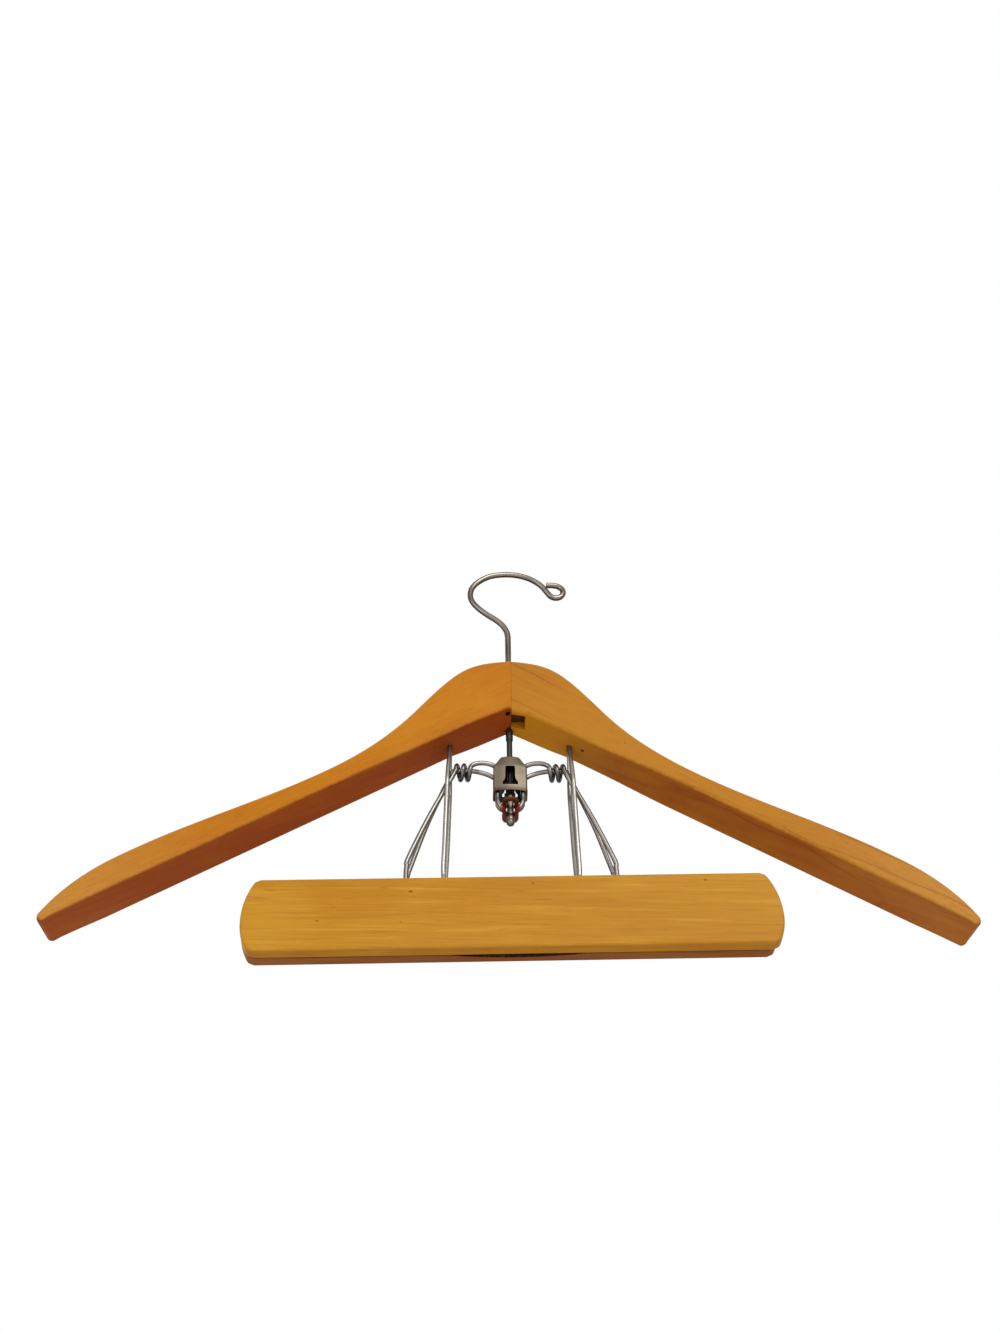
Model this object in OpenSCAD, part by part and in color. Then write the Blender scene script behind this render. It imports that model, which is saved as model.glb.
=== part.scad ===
// Wooden coat and trouser hanger with a sprung bar clamp.
// Millimetres, +Z up, front is -Y, +X to the right as seen from the front.
// Origin: inner top of the hook, where it rests on a rail. The pieces are drawn about the centre of the
// flat under the wooden crown and then moved there together.

/* [Wooden body] */
// Length of one arm measured along the arm from the middle of the hanger
arm_len = 224.5; // [180:0.5:270]
// Thickness of the wooden arms
arm_t = 17.4; // [15:0.1:22]
// Fall of the underside along the arm, mm per mm
arm_fall = 0.534; // [0.4:0.005:0.7]
// Angle each arm is swept backwards in plan
sweep = 6; // [0:0.5:10]
// Height of the crown above the flat underside
crown_h = 36.6; // [30:0.1:45]
// Half width of the flat under the crown
flat_half = 7.7; // [5:0.1:10]
// Height of the face at its widest under the crown
crown_face = 39.3; // [32:0.1:46]
// Height of the face at the slim neck of each arm
neck_h = 13.1; // [10:0.1:17]
// Place of the neck along the arm
neck_at = 94; // [84:1:105]
// Height of the face at the broad part near the tip
paddle_h = 19.7; // [16:0.1:24]
// Place of the broad part along the arm
paddle_at = 182; // [165:1:192]
// Rounding of the long edges of the arms
edge_r = 1.8; // [0.8:0.1:2.4]
// Place of the glued seam to the right of the rod
seam_x = 0.8; // [0:0.1:1.5]
// Length of the tongue across the seam
tongue_l = 7; // [5:0.5:10]
// Thickness of the tongue
tongue_t = 8; // [6:0.1:9]
// Height of the open end left under the tongue
tongue_gap = 3.2; // [2:0.1:5]

/* [Hook and rod] */
// Distance of the rod behind the middle of the wood
rod_y = 5.5; // [4:0.1:6.5]
// Radius of the hook wire
hook_wire_r = 1.6; // [1.4:0.05:2]
// Radius of the hook measured to the middle of the wire
hook_r = 20.6; // [18:0.1:24]
// Height of the middle of the hook's round above the origin
hook_z = 96.3; // [90:0.5:105]
// Radius of the small curl that ends the hook, to the middle of the wire
curl_r = 4.2; // [3.8:0.1:5]
// Radius of the rod that carries the clamp
rod_r = 1.45; // [1.3:0.05:1.6]
// Height of the rounded foot of the rod
rod_foot_z = -62.2; // [-66:0.1:-61]
// Radius of the ferrule on the foot of the rod
ferrule_r = 2.05; // [1.95:0.05:2.4]
// Radius of the collar that carries the wood
collar_r = 2; // [1.9:0.05:2.6]

/* [Clamp wires] */
// Radius of the clamp wire
wire_r = 1.2; // [1:0.05:1.35]
// Height of the middle of the coils
coil_z = -28.6; // [-30:0.1:-27]
// Radius of the coils, to the middle of the wire
coil_r = 3.6; // [3.45:0.05:3.9]
// Advance of the coils for one turn
coil_pitch = 3.6; // [3.2:0.1:4]
// Number of turns in each coil
coil_turns = 2; // [2:1:2]
// Distance of the outer end of each coil from the middle
coil_out = 27; // [25:0.1:30]
// Distance of the wire runs inside the sleeve from the middle
run_x = 6.25; // [6:0.05:7]
// Distance of the legs from the middle where they enter the boards
leg_x = 50; // [44:0.5:58]
// Height of the low bight round the rod
low_bight_z = -54.2; // [-55:0.1:-53.8]
// Height of the high bight round the rod
high_bight_z = -50.4; // [-50.8:0.1:-49.8]
// Reach of the bights past the rod
bight_y = 6.25; // [6:0.05:6.8]
// Depth of the wire ends in the boards
leg_in = 15; // [10:0.5:20]

/* [Sleeve] */
// Height of the lower rim of the sleeve
rim_z = -43.6; // [-45:0.1:-43]
// Height of the sleeve
sleeve_h = 22.6; // [21:0.1:24]
// Thickness of the sleeve metal
sleeve_t = 0.7; // [0.5:0.05:0.9]
// Half depth of the sleeve inside, where it holds the wires
hold_y = 3.75; // [3.7:0.05:3.9]
// Half height of the swell of the sleeve plates
swell = 0.25; // [0.1:0.05:0.5]
// Travel of the sleeve when the clamp is opened
lift = 8; // [6:0.1:8]
// Angle each jaw opens when the sleeve is up
jaw_open = 7; // [5:0.1:7]
// Width of the slot in the sleeve plates
window_w = 4.5; // [3.5:0.1:5.5]

/* [Boards] */
// Length of the boards
bar_len = 252; // [200:1:300]
// Height of the boards
bar_h = 40.5; // [32:0.5:50]
// Thickness of each board
board_t = 6.1; // [5.2:0.1:7.5]
// Gap between the closed boards
board_gap = 0.6; // [0.4:0.05:1.2]
// Height of the top edge of the boards
bar_top = -97.7; // [-115:0.5:-90]
// Swell of the rounded board ends
end_swell = 5.4; // [3:0.1:8]
// Rounding of the outer board edges
board_r = 1.6; // [0.8:0.1:2]

/* [Spring hairpins] */
// Radius of the hairpin wire
pin_wire_r = 1.15; // [0.9:0.05:1.25]
// Distance of the hairpins from the middle where they leave the wood
hairpin_x = 30.2; // [29.6:0.1:33]
// Distance of the hairpins from the middle where they enter the boards
hairpin_foot_x = 31.9; // [30:0.1:36]
// Half width of each hairpin where it passes the clamp wires
hairpin_spread = 6.4; // [6.2:0.1:7.5]
// Depth of the hairpin ends in the boards
hairpin_in = 14; // [8:0.5:20]

/* [Hidden] */
eps = 0.01;
snug = 0.05;
wire_sides = 8;
board_y = board_gap / 2 + board_t / 2;
pin_clear = 0.12;
pin_z = coil_z + coil_r - 2 * wire_r - pin_clear;
pin_out = coil_out + wire_r + 0.4;
coil_in = coil_out - coil_turns * coil_pitch;
rim_depth = pin_z - rim_z;
cam_rate = jaw_open / lift * PI / 180;
hold_clear = 0.15;
run_rim_y = hold_y - wire_r - hold_clear;
bight_x = rod_r + wire_r + 0.3;
sleeve_in_x = run_x + wire_r + 0.15;
slot_end_z = rim_z + 1.6;
sleeve_top_z = rim_z + sleeve_h;
line_z = arm_fall * flat_half;
ferrule_top_z = low_bight_z - wire_r - 0.25;
arm_tip = arm_len;
hole_r = rod_r + 0.12;
hang_z = hook_z + hook_r - hook_wire_r;

function unit(v) = v / norm(v);
function mix(a, b, t) = a + (b - a) * t;
function back_to_front(p) = [for (i = [len(p) - 1:-1:0]) p[i]];
function flip_x(p) = [for (q = p) [-q[0], q[1], q[2]]];
function heading(p, i) = unit(p[min(i + 1, len(p) - 1)] - p[max(i - 1, 0)]);
function square_to(u, t) = unit(u - (u * t) * t);
function first_side(t) = square_to(abs(t[0]) < 0.8 ? [1, 0, 0] : [0, 0, 1], t);
function side_rows(p) = [for (i = 0, u = first_side(heading(p, 0)); i < len(p);
    u = square_to(u, heading(p, min(i + 1, len(p) - 1))), i = i + 1) u];

// A smooth curve through a list of points, each gap cut into the given number of steps
function curve_at(a, b, c, d, t) = 0.5 * (2 * b + (c - a) * t + (2 * a - 5 * b + 4 * c - d) * t * t
    + (3 * b - 3 * c + d - a) * t * t * t);
function curve(p, steps) = let (n = len(p)) concat([for (i = [0:n - 2], k = [0:steps - 1])
    curve_at(p[max(i - 1, 0)], p[i], p[i + 1], p[min(i + 2, n - 1)], k / steps)], [p[n - 1]]);

// Value between two stations with a set slope at each
function hermite(x, x0, y0, m0, x1, y1, m1) = let (w = x1 - x0, t = (x - x0) / w)
    (2 * t * t * t - 3 * t * t + 1) * y0 + (t * t * t - 2 * t * t + t) * w * m0
    + (3 * t * t - 2 * t * t * t) * y1 + (t * t * t - t * t) * w * m1;

// Moves a piece so that the hook hangs at the origin
module hung() {
    translate([0, -rod_y, -hang_z]) children();
}

// A solid through rings that all have the same number of points
module skin(rings) {
    n = len(rings[0]);
    m = len(rings);
    points = [for (r = rings, q = r) q];
    walls = [for (k = [0:m - 2], j = [0:n - 1], h = [0, 1])
        let (a = k * n + j, b = k * n + (j + 1) % n, c = a + n, d = b + n)
        h == 0 ? [a, b, d] : [a, d, c]];
    polyhedron(points = points, convexity = 10,
        faces = concat([[for (j = [n - 1:-1:0]) j]], walls, [[for (j = [0:n - 1]) (m - 1) * n + j]]));
}

// Round wire along a path
module wire(p, r, sides = wire_sides) {
    u = side_rows(p);
    skin([for (i = [0:len(p) - 1]) let (v = cross(u[i], heading(p, i)))
        [for (j = [0:sides - 1]) p[i] + r * cos(360 * j / sides) * u[i] + r * sin(360 * j / sides) * v]]);
}

// Least gap between parts of one wire that are at least skip points apart
function self_gap(p, r, skip) = min([for (i = [0:len(p) - 1 - skip], j = [i + skip:len(p) - 1])
    norm(p[i] - p[j])]) - 2 * r;

// Height of the face above the sloping underside, along the arm
mid_at = neck_at / 2;
mid_h = mix(neck_h, crown_face, 0.507);
crown_at = neck_at * 0.223;
function face_h(s) = let (a = abs(s))
    a < crown_at ? hermite(a, 0, crown_h - line_z, arm_fall, crown_at, crown_face, 0) :
    a < mid_at ? hermite(a, crown_at, crown_face, 0, mid_at, mid_h, -0.72) :
    a < neck_at ? hermite(a, mid_at, mid_h, -0.72, neck_at, neck_h, 0) :
    a < paddle_at ? hermite(a, neck_at, neck_h, 0, paddle_at, paddle_h, 0) :
    hermite(a, paddle_at, paddle_h, 0, arm_tip, paddle_h * 0.27, -1.0);
function under_z(s) = line_z - arm_fall * max(abs(s), flat_half);
function line_at(s) = line_z - arm_fall * abs(s);

// Outline of one arm in its own plane, from the seam at s0 along the underside, round the tip and back
tip_r = 3;
tip_c = [arm_tip - tip_r - 0.6, line_at(arm_tip - tip_r) + tip_r * 1.05];
function arm_outline(s0) = concat(
    [[s0, 0], [flat_half * 0.5, 0], [flat_half, 0]],
    [for (k = [1:6]) let (s = mix(flat_half, arm_tip - tip_r * 2.6, k / 6)) [s, under_z(s)]],
    [for (k = [0:4]) let (a = -100 + k * 26) [tip_c[0] + tip_r * cos(a), tip_c[1] + tip_r * sin(a)]],
    [for (k = [0:5]) let (s = mix(arm_tip, arm_tip - 12, k / 5 * 0.94 + 0.06)) [s, line_at(s) + face_h(s)]],
    [for (k = [1:10]) let (s = mix(arm_tip - 12, neck_at, k / 10)) [s, line_at(s) + face_h(s)]],
    [for (k = [1:16]) let (s = mix(neck_at, s0, k / 16)) [s, line_at(s) + face_h(s)]]);

// The outline drawn in by e, so that the long edges are rounded
function drawn_in(p, e) = let (n = len(p)) [for (i = [0:n - 1])
    let (t = unit(p[(i + 1) % n] - p[(i + n - 1) % n])) p[i] + e * [-t[1], t[0]]];
function seam_kept(p, e) = let (n = len(p), q = drawn_in(p, e))
    concat([p[0] + [0, e]], [for (i = [1:n - 2]) q[i]], [p[n - 1] - [0, e]]);
function round_rows(half, r) = [for (k = [0:3]) let (a = k * 30) [r * (1 - sin(a)), -half + r * (1 - cos(a))]];
function both_rows(half, r) = let (f = round_rows(half, r))
    concat(f, [for (k = [len(f) - 1:-1:0]) [f[k][0], -f[k][1]]]);

// One arm, swept back about the rod, with its inner end in the plane of the seam
module arm_blank(end_x) {
    skin([for (row = both_rows(arm_t / 2, edge_r))
        let (p = arm_outline((end_x + row[1] * sin(sweep)) / cos(sweep)))
        [for (q = seam_kept(p, row[0]))
            [q[0] * cos(sweep) - row[1] * sin(sweep), q[0] * sin(sweep) + row[1] * cos(sweep), q[1]]]]);
}

tongue_y = -1.6;
module rod_hole() {
    translate([0, rod_y, -10]) cylinder(r = hook_wire_r + 0.1, h = crown_h + 20, $fn = 48);
}

// Slot in the underside that holds the closed end of a hairpin
module hairpin_slot(side) {
    translate([side * hairpin_x - pin_wire_r - snug, rod_y - 2 * pin_wire_r - 0.2 - snug, under_z(hairpin_x) - 14])
        cube([2 * (pin_wire_r + snug), 2 * (2 * pin_wire_r + 0.2 + snug), 14 + 16.2]);
}

function arm_brad_s() = hairpin_x + 6.8;
module arm_brad_hole(side) {
    translate([side * arm_brad_s() * cos(sweep), arm_brad_s() * sin(sweep) - 1, under_z(arm_brad_s()) - 3])
        cylinder(r = 0.8, h = 12.1, $fn = 24);
}

module right_arm() {
    color([0.80, 0.56, 0.20]) hung() difference() {
        arm_blank(seam_x);
        translate([seam_x - 1, tongue_y - tongue_t / 2 - snug, -5])
            cube([tongue_l + 1 + snug, tongue_t + 2 * snug, crown_h * 0.78 + 5 + snug]);
        rod_hole();
        hairpin_slot(1);
        arm_brad_hole(1);
    }
}

module left_arm() {
    color([0.78, 0.50, 0.16]) hung() difference() {
        union() {
            mirror([1, 0, 0]) arm_blank(-seam_x);
            translate([seam_x - 2, tongue_y - tongue_t / 2, tongue_gap])
                cube([tongue_l + 2, tongue_t, crown_h * 0.78 - tongue_gap]);
        }
        rod_hole();
        hairpin_slot(-1);
        arm_brad_hole(-1);
        translate([-1.6, -arm_t / 2 + edge_r + 0.9, -1]) cylinder(r = 0.8, h = 5, $fn = 24);
    }
}

module arm_brad(side) {
    z = under_z(arm_brad_s());
    color([0.25, 0.22, 0.2]) hung() translate([side * arm_brad_s() * cos(sweep), arm_brad_s() * sin(sweep) - 1, z - 0.2]) {
        cylinder(r = 0.75, h = 9, $fn = 24);
    }
}

module arm_brad_left() {
    arm_brad(-1);
}

module arm_brad_right() {
    arm_brad(1);
}

neck_z = hook_z - 1.42 * hook_r;
curl_c = [hook_r * 1.28, hook_r * 0.33];
function hook_path() = let (
    low = curve([for (q = [[0, -1.6], [0, -1.42], [-0.05, -1.22], [-0.31, -0.89], [-0.62, -0.61], [-0.84, -0.41],
        [-0.965, -0.17]]) hook_r * q], 4),
    round = [for (k = [0:14]) let (a = mix(180, 62, k / 14)) hook_r * [cos(a), sin(a)]],
    shank = [for (q = [[0.62, 0.83], [0.78, 0.74], [0.888, 0.62], [0.966, 0.466], [1.055, 0.32]]) hook_r * q],
    eye = [for (k = [0:14]) let (a = mix(213, 490, k / 14)) curl_c + curl_r * [cos(a), sin(a)]])
    [for (q = concat(low, round, shank, eye)) [q[0], rod_y, hook_z + q[1]]];

module hook_rod() {
    color([0.72, 0.70, 0.66]) hung() union() {
        wire(hook_path(), hook_wire_r - 0.02, 12);
        translate([0, rod_y, crown_h * 0.5]) cylinder(r = hook_wire_r, h = neck_z - crown_h * 0.5 - 3, $fn = 48);
        translate([0, rod_y, rod_foot_z + 1.6]) cylinder(r = rod_r, h = crown_h * 0.5 - rod_foot_z - 1.2, $fn = 48);
    }
}

module rod_collar() {
    color([0.3, 0.28, 0.25]) hung() translate([0, rod_y, -7.2]) difference() {
        cylinder(r = collar_r, h = 6.9, $fn = 48);
        translate([0, 0, -1]) cylinder(r = rod_r + 0.02, h = 9, $fn = 48);
    }
}

module rod_ferrule() {
    h = ferrule_top_z - rod_foot_z;
    color([0.7, 0.66, 0.6]) hung() translate([0, rod_y, rod_foot_z]) difference() {
        rotate_extrude($fn = 48) polygon(concat([[0, 0]],
            [for (k = [0:6]) let (a = -90 + k * 15) [ferrule_r * cos(a), ferrule_r * (1 + sin(a))]],
            [[ferrule_r, h - 0.4], [ferrule_r - 0.4, h], [0, h]]));
        translate([0, 0, 1.55]) cylinder(r = rod_r + 0.02, h = h, $fn = 48);
    }
}

// Distance of a wire run from the middle plane, by its depth under the hinge: the sleeve rim stays on it
function run_y(h) = run_rim_y - max(h, 0) * cam_rate * (rim_depth - min(max(h, 0), rim_depth));
function run_point(z, face) = [-run_x, face * run_y(pin_z - z), z];

// One half of a bight, from the rim of the sleeve to the middle of the far end
function bight(face, z) = concat(curve([run_point(rim_z + 3, face), run_point(rim_z, face),
    [-run_x, face * (run_rim_y + 0.15), rim_z - (rim_z - z) * 0.3],
    [-run_x + 0.4, face * (run_rim_y + 0.5), rim_z - (rim_z - z) * 0.62],
    [-mix(run_x, bight_x, 0.62), face * (run_rim_y + 0.35), rim_z - (rim_z - z) * 0.93],
    [-bight_x, face * 0.6, z], [-bight_x, -face * (bight_y - bight_x) * 0.55, z],
    [-bight_x, -face * (bight_y - bight_x), z]], 4),
    [for (k = [1:4]) let (a = k * 22.5) [-bight_x * cos(a), -face * (bight_y - bight_x + bight_x * sin(a)), z]]);

leg_bend_z = bar_top + 9.5;
function leg_end(face) = [[-leg_x, face * board_y, bar_top - leg_in], [-leg_x, face * board_y, bar_top - 1]];
function leg_foot(face) = [[-leg_x, face * board_y, bar_top + 1], [-leg_x, face * board_y, bar_top + 3.5]];

function front_half() = concat(leg_end(-1),
    curve(concat(leg_foot(-1), [[-leg_x + 1.9, -mix(board_y, coil_r, 0.2), leg_bend_z],
        [-mix(leg_x, coil_out, 0.45), -mix(board_y, coil_r, 0.5), mix(leg_bend_z, coil_z, 0.45)],
        [-coil_out - 1.2, -coil_r, coil_z - 4.2]]), 3),
    [for (k = [0:coil_turns * 12]) let (a = k * 30)
        [-coil_out + coil_pitch * a / 360, -coil_r * cos(a), coil_z + coil_r * sin(a)]],
    [for (k = [1:7]) let (a = 180 - k * 22.5, x = -(coil_in + run_x) / 2 + (coil_in - run_x) / 2 * cos(a))
        [x, -mix(coil_r, run_y(1.2), (x + coil_in) / (coil_in - run_x)), coil_z + 3.4 * sin(a)]],
    [for (k = [0:4]) run_point(mix(coil_z, rim_z + 5, k / 4), -1)],
    bight(-1, low_bight_z));

function rear_half_leg() = concat(leg_end(1), curve(concat(leg_foot(1), [[-leg_x + 1.9, board_y * 0.97, leg_bend_z],
    [-mix(leg_x, pin_out, 0.45), board_y * 0.6, mix(leg_bend_z, pin_z, 0.45)],
    [-pin_out - 1.3, 0.35, pin_z - 3.6], [-pin_out + 0.1, 0, pin_z - 0.5], [-pin_out + 1.4, 0, pin_z],
    [-pin_out + 2.6, 0, pin_z]]), 4));

function rear_half_run() = concat(
    curve([[-coil_in, 0, pin_z], [-coil_in + 1.2, 0, pin_z], [-mix(coil_in, run_x, 0.34), run_y(0) * 0.5, pin_z + 0.3],
        [-mix(coil_in, run_x, 0.62), run_y(1) * 0.86, pin_z - 0.6],
        [-mix(coil_in, run_x, 0.86), run_y(2.5), pin_z - 2.6],
        [-run_x - 0.15, run_y(5.2), pin_z - 5.2], run_point(pin_z - 7.5, 1), run_point(pin_z - 10, 1)], 4),
    bight(1, high_bight_z));

module moved_back() {
    translate([0, rod_y, 0]) children();
}

module front_wire() {
    half = front_half();
    color([0.75, 0.72, 0.68]) hung() moved_back()
        wire(concat(half, back_to_front([for (i = [0:len(half) - 2]) [-half[i][0], half[i][1], half[i][2]]])), wire_r);
}

module rear_wire() {
    run = rear_half_run();
    color([0.72, 0.69, 0.64]) hung() moved_back() union() {
        wire(concat(run, back_to_front([for (i = [0:len(run) - 2]) [-run[i][0], run[i][1], run[i][2]]])), wire_r);
        for (side = [-1, 1]) {
            wire([for (q = rear_half_leg()) [-side * q[0], q[1], q[2]]], wire_r);
            translate([side * (coil_in - 0.7 + (pin_out - 2 - coil_in) / 2), 0, pin_z]) rotate([0, 90, 0])
                cylinder(r = wire_r + 0.02, h = pin_out - 0.6 - coil_in, center = true, $fn = 32);
        }
    }
}

echo("least gap of the coiled wire to itself",
    self_gap([for (k = [0:coil_turns * 12]) let (a = k * 30)
        [-coil_out + coil_pitch * a / 360, -coil_r * cos(a), coil_z + coil_r * sin(a)]], wire_r, 8));

// Rounded outline of the sleeve with the plates swelling in the middle
function sleeve_ring(hx, hy, r, sw, z) = let (
    corner = [for (k = [0:4]) let (a = k * 22.5) [hx - r + r * cos(a), hy - r + r * sin(a)]],
    front = [for (k = [1:3]) let (x = (hx - r) * (1 - k / 4)) [x, hy + sw * (1 - pow(x / (hx - r), 2))]],
    quarter = concat(corner, front),
    top = concat(quarter, [[0, hy + sw]], [for (i = [len(quarter) - 1:-1:0]) [-quarter[i][0], quarter[i][1]]]),
    whole = concat(top, [for (i = [len(top) - 1:-1:0]) [top[i][0], -top[i][1]]]))
    [for (i = [len(whole) - 1:-1:0]) [whole[i][0], whole[i][1] + rod_y, z]];

module sleeve_solid(g, low, high) {
    hx = sleeve_in_x + g;
    hy = hold_y + g;
    r = wire_r + hold_clear + g;
    skin([sleeve_ring(hx, hy, r, swell, low), sleeve_ring(hx, hy, r, swell, high - 5.4),
        sleeve_ring(hx * 0.93, hy * 0.97, r, swell, high - 3.9),
        sleeve_ring(hx * 0.62, hy * 0.84, r, swell * 0.7, high - 0.7),
        sleeve_ring(hx * 0.54, hy * 0.74, r, swell * 0.6, high)]);
}

module sleeve() {
    low = slot_end_z;
    wz = rim_z + 1.5;
    color([0.62, 0.58, 0.50]) hung() union() {
        difference() {
            sleeve_solid(sleeve_t, rim_z, sleeve_top_z);
            sleeve_solid(0, rim_z - 1, sleeve_top_z - sleeve_t);
            translate([0, rod_y, sleeve_top_z - 5]) cylinder(r = hole_r, h = 8, $fn = 48);
            for (side = [-1, 1])
                translate([side * (sleeve_in_x + 2) - 3.4, rod_y - hold_y, low])
                    cube([6.8, 2 * hold_y, sleeve_top_z - 3.9 - low]);
            translate([0, rod_y + 20, 0]) rotate([90, 0, 0]) linear_extrude(height = 40)
                polygon([[-window_w / 2, wz + 5.2], [-window_w * 0.77, wz + 2.6], [-window_w * 0.77, wz],
                    [window_w * 0.77, wz], [window_w * 0.77, wz + 2.6], [window_w / 2, wz + 5.2],
                    [window_w / 2, wz + 12.6], [window_w / 2 - 0.6, wz + 13.4], [-window_w / 2 + 0.6, wz + 13.4],
                    [-window_w / 2, wz + 12.6]]);
        }
        for (face = [-1, 1])
            translate([0, rod_y + face * (hold_y + swell + 0.3), wz - 0.3]) rotate([face * 24, 0, 0])
                translate([-window_w * 0.62, -0.3, 0]) cube([window_w * 1.24, 0.6, 3.6]);
    }
}

function board_outline() = let (top = bar_len / 2 - end_swell - 0.9, foot = bar_len / 2 - end_swell + 0.9)
    concat([for (k = [0:6]) let (t = k / 6) [mix(foot, top, t) + end_swell * (1 - pow(2 * t - 0.86, 2)) * 0.98
        * (1 - pow(2 * t - 1, 8)), bar_top - bar_h + bar_h * t]],
        [for (k = [6:-1:0]) let (t = k / 6) [-mix(foot, top, t) - end_swell * (1 - pow(2 * t - 0.86, 2)) * 0.98
        * (1 - pow(2 * t - 1, 8)), bar_top - bar_h + bar_h * t]]);

module board(face) {
    rows = concat(round_rows(board_t / 2, board_r), [[0, board_t / 2 - 0.5], [0.5, board_t / 2]]);
    difference() {
        moved_back() mirror([0, face > 0 ? 1 : 0, 0]) translate([0, -board_y, 0])
            skin([for (row = rows) [for (q = drawn_in(board_outline(), row[0])) [q[0], row[1], q[1]]]]);
        for (side = [-1, 1]) {
            translate([side * leg_x, rod_y + face * board_y, bar_top - leg_in - 0.3])
                cylinder(r = wire_r + snug, h = leg_in + 5, $fn = 32);
            translate([side * hairpin_foot_x, rod_y + face * board_y, bar_top - hairpin_in - 0.3])
                cylinder(r = pin_wire_r + snug, h = hairpin_in + 5, $fn = 32);
            translate([side * brad_x(), rod_y + face * board_y, bar_top - 9.2]) rotate([90, 0, 0])
                cylinder(r = 0.75, h = board_t + 2, center = true, $fn = 24);
        }
    }
}

function brad_x() = leg_x - wire_r - 0.75 - 0.4;

module front_board() {
    color([0.80, 0.60, 0.22]) hung() board(-1);
}

module rear_board() {
    color([0.72, 0.50, 0.24]) hung() board(1);
}

// A brad wedges each wire end in its board
module brad(side, face) {
    color([0.3, 0.27, 0.24]) hung() translate([side * brad_x(), rod_y + face * (board_y + 0.15), bar_top - 9.2])
        rotate([90, 0, 0]) cylinder(r = 0.7, h = board_t - 0.4, center = true, $fn = 24);
}

module front_brad_left() {
    brad(-1, -1);
}

module front_brad_right() {
    brad(1, -1);
}

module rear_brad_left() {
    brad(-1, 1);
}

module rear_brad_right() {
    brad(1, 1);
}

function hairpin_leg(face) = let (half = pin_wire_r + 0.2, out = under_z(hairpin_x))
    concat([[-hairpin_x, face * half, 0.5], [-hairpin_x, face * half, out * 0.55]],
    curve([[-hairpin_x, face * half, out + 1], [-hairpin_x, face * half, out - 0.6],
    [-mix(hairpin_x, hairpin_foot_x, 0.1), face * mix(half, hairpin_spread, 0.62), out - 12],
    [-mix(hairpin_x, hairpin_foot_x, 0.2), face * hairpin_spread, coil_z - 7],
    [-mix(hairpin_x, hairpin_foot_x, 0.3), face * hairpin_spread, coil_z - 15],
    [-mix(hairpin_x, hairpin_foot_x, 0.65), face * mix(hairpin_spread, board_y, 0.5), mix(coil_z - 15, bar_top, 0.55)],
    [-hairpin_foot_x, face * board_y, bar_top + 4.5], [-hairpin_foot_x, face * board_y, bar_top + 2.2]], 3),
    [[-hairpin_foot_x, face * board_y, bar_top - 1], [-hairpin_foot_x, face * board_y, bar_top - hairpin_in]]);

module hairpin(side) {
    half = pin_wire_r + 0.2;
    path = concat(back_to_front(hairpin_leg(-1)),
        [for (k = [1:5]) let (a = k * 30) [-hairpin_x, -half * cos(a), 0.5 + half * sin(a)]],
        hairpin_leg(1));
    color([0.70, 0.68, 0.62]) hung() moved_back() wire([for (q = path) [-side * q[0], q[1], q[2]]], pin_wire_r);
}

module left_hairpin() {
    hairpin(-1);
}

module right_hairpin() {
    hairpin(1);
}

left_arm();
right_arm();
hook_rod();
rod_collar();
rod_ferrule();
sleeve();
front_wire();
rear_wire();
front_board();
rear_board();
left_hairpin();
right_hairpin();
front_brad_left();
front_brad_right();
rear_brad_left();
rear_brad_right();
arm_brad_left();
arm_brad_right();
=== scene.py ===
import math
import bmesh
import bpy
from mathutils import Matrix, Vector


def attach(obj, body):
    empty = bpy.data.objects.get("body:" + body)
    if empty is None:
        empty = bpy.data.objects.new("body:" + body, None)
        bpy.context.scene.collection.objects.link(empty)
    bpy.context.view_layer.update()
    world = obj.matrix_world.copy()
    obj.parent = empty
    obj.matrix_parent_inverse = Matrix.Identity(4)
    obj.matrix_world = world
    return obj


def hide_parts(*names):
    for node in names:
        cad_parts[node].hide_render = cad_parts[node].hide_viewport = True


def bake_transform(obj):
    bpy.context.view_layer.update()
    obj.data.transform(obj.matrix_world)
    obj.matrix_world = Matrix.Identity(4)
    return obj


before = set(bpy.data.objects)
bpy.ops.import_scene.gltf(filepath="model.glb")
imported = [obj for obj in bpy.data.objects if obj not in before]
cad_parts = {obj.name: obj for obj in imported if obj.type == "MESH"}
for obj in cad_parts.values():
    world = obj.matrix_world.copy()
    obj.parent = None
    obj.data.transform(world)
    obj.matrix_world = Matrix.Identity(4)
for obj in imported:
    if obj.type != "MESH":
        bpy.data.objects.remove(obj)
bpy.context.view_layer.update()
print("frame loaded")

# Lengths below are in millimetres about the flat under the crown, and go to metres about the hook's inner top
hung = {"y": -5.5, "z": -115.3}


def place(p):
    return Vector((p[0], p[1] + hung["y"], p[2] + hung["z"])) * 0.001


def mix(a, b, t):
    return a + (b - a) * t


# Shader maths as expressions

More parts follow.
